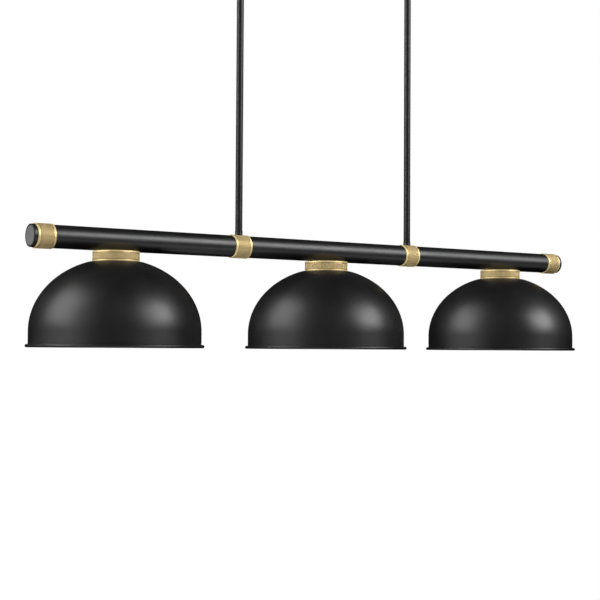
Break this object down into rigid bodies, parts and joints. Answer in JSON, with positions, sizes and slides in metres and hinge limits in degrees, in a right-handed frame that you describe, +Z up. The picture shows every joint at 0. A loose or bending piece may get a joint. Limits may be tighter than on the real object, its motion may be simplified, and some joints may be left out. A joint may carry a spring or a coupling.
{
  "type": "linear island pendant",
  "caption": "Linear island pendant: a straight round bar on two slim stems under a rectangular canopy, with open-bottomed dome shades below the bar and knurled sleeves on it.",
  "frame": {"origin": "ceiling plane, at the centre of the two outlet-box screw holes in the mounting strap", "axes": "+Z up, +X along the bar to the right seen from the front, +Y to the back"},
  "size_m": [1.207, 0.3048, 1.0129],
  "materials": {
    "black_coat": "satin black powder coat",
    "knurled_brass": "satin aged brass, diamond knurled with polished bevels",
    "zinc_steel": "bright zinc plate",
    "socket_plastic": "moulded black phenolic",
    "shell_metal": "rolled thread, bright",
    "contact_brass": "bright stamped brass",
    "black_insulation": "smooth insulation",
    "white_insulation": "smooth insulation",
    "green_insulation": "smooth insulation",
    "connector_plastic": "moulded, ribbed"
  },
  "bodies": {
    "ceiling_fixing": {"mounting_strap": "zinc_steel", "canopy": "black_coat", "canopy_studs": "zinc_steel", "stud_locknuts": "zinc_steel", "ground_screw": "contact_brass", "ground_lead": "green_insulation", "wire_connectors": "connector_plastic", "swivel_cup_left": "black_coat", "swivel_cup_right": "black_coat", "swivel_nipples": "zinc_steel", "swivel_washers": "zinc_steel", "swivel_locknuts": "zinc_steel", "canopy_live_leads": "black_insulation", "canopy_neutral_leads": "white_insulation"},
    "hanging_frame": {"swivel_ball_left": "black_coat", "swivel_ball_right": "black_coat", "upper_stem_left": "black_coat", "upper_stem_right": "black_coat", "stem_nipples": "zinc_steel", "lower_stem_left": "black_coat", "lower_stem_right": "black_coat", "stem_base_ring_left": "black_coat", "stem_base_ring_right": "black_coat", "stem_anchor_left": "zinc_steel", "stem_anchor_right": "zinc_steel", "stem_collar_left": "knurled_brass", "stem_collar_right": "knurled_brass", "bar_tube": "black_coat", "end_collar_left": "knurled_brass", "end_collar_right": "knurled_brass", "end_cap_left": "black_coat", "end_cap_right": "black_coat", "saddle_washers": "zinc_steel", "nipple_nuts": "zinc_steel", "socket_nipples": "zinc_steel", "centre_contacts": "contact_brass", "live_wires": "black_insulation", "neutral_wires": "white_insulation", "fitter_collar_left": "knurled_brass", "socket_cap_left": "zinc_steel", "socket_body_left": "socket_plastic", "screw_shell_left": "shell_metal", "shade_left": "black_coat", "fitter_collar_centre": "knurled_brass", "socket_cap_centre": "zinc_steel", "socket_body_centre": "socket_plastic", "screw_shell_centre": "shell_metal", "shade_centre": "black_coat", "fitter_collar_right": "knurled_brass", "socket_cap_right": "zinc_steel", "socket_body_right": "socket_plastic", "screw_shell_right": "shell_metal", "shade_right": "black_coat"},
    "canopy_nut_left_body": {"canopy_nut_left": "knurled_brass"},
    "canopy_nut_right_body": {"canopy_nut_right": "knurled_brass"},
    "shade_ring_left_body": {"shade_ring_left": "socket_plastic"},
    "shade_ring_centre_body": {"shade_ring_centre": "socket_plastic"},
    "shade_ring_right_body": {"shade_ring_right": "socket_plastic"}
  },
  "joints": [
    {"name": "frame_swing", "type": "hinge", "parent": "ceiling_fixing", "child": "hanging_frame", "pos_m": [0, 0, -0.041], "axis": [1, 0, 0], "range_deg": [-25, 25]},
    {"name": "canopy_nut_left_turn", "type": "hinge", "parent": "ceiling_fixing", "child": "canopy_nut_left_body", "pos_m": [-0.075, 0, -0.031], "axis": [0, 0, 1], "continuous": true},
    {"name": "canopy_nut_right_turn", "type": "hinge", "parent": "ceiling_fixing", "child": "canopy_nut_right_body", "pos_m": [0.075, 0, -0.031], "axis": [0, 0, 1], "continuous": true},
    {"name": "shade_ring_left_turn", "type": "hinge", "parent": "hanging_frame", "child": "shade_ring_left_body", "pos_m": [-0.444, 0, -0.872], "axis": [0, 0, 1], "continuous": true},
    {"name": "shade_ring_centre_turn", "type": "hinge", "parent": "hanging_frame", "child": "shade_ring_centre_body", "pos_m": [0, 0, -0.872], "axis": [0, 0, 1], "continuous": true},
    {"name": "shade_ring_right_turn", "type": "hinge", "parent": "hanging_frame", "child": "shade_ring_right_body", "pos_m": [0.444, 0, -0.872], "axis": [0, 0, 1], "continuous": true}
  ]
}
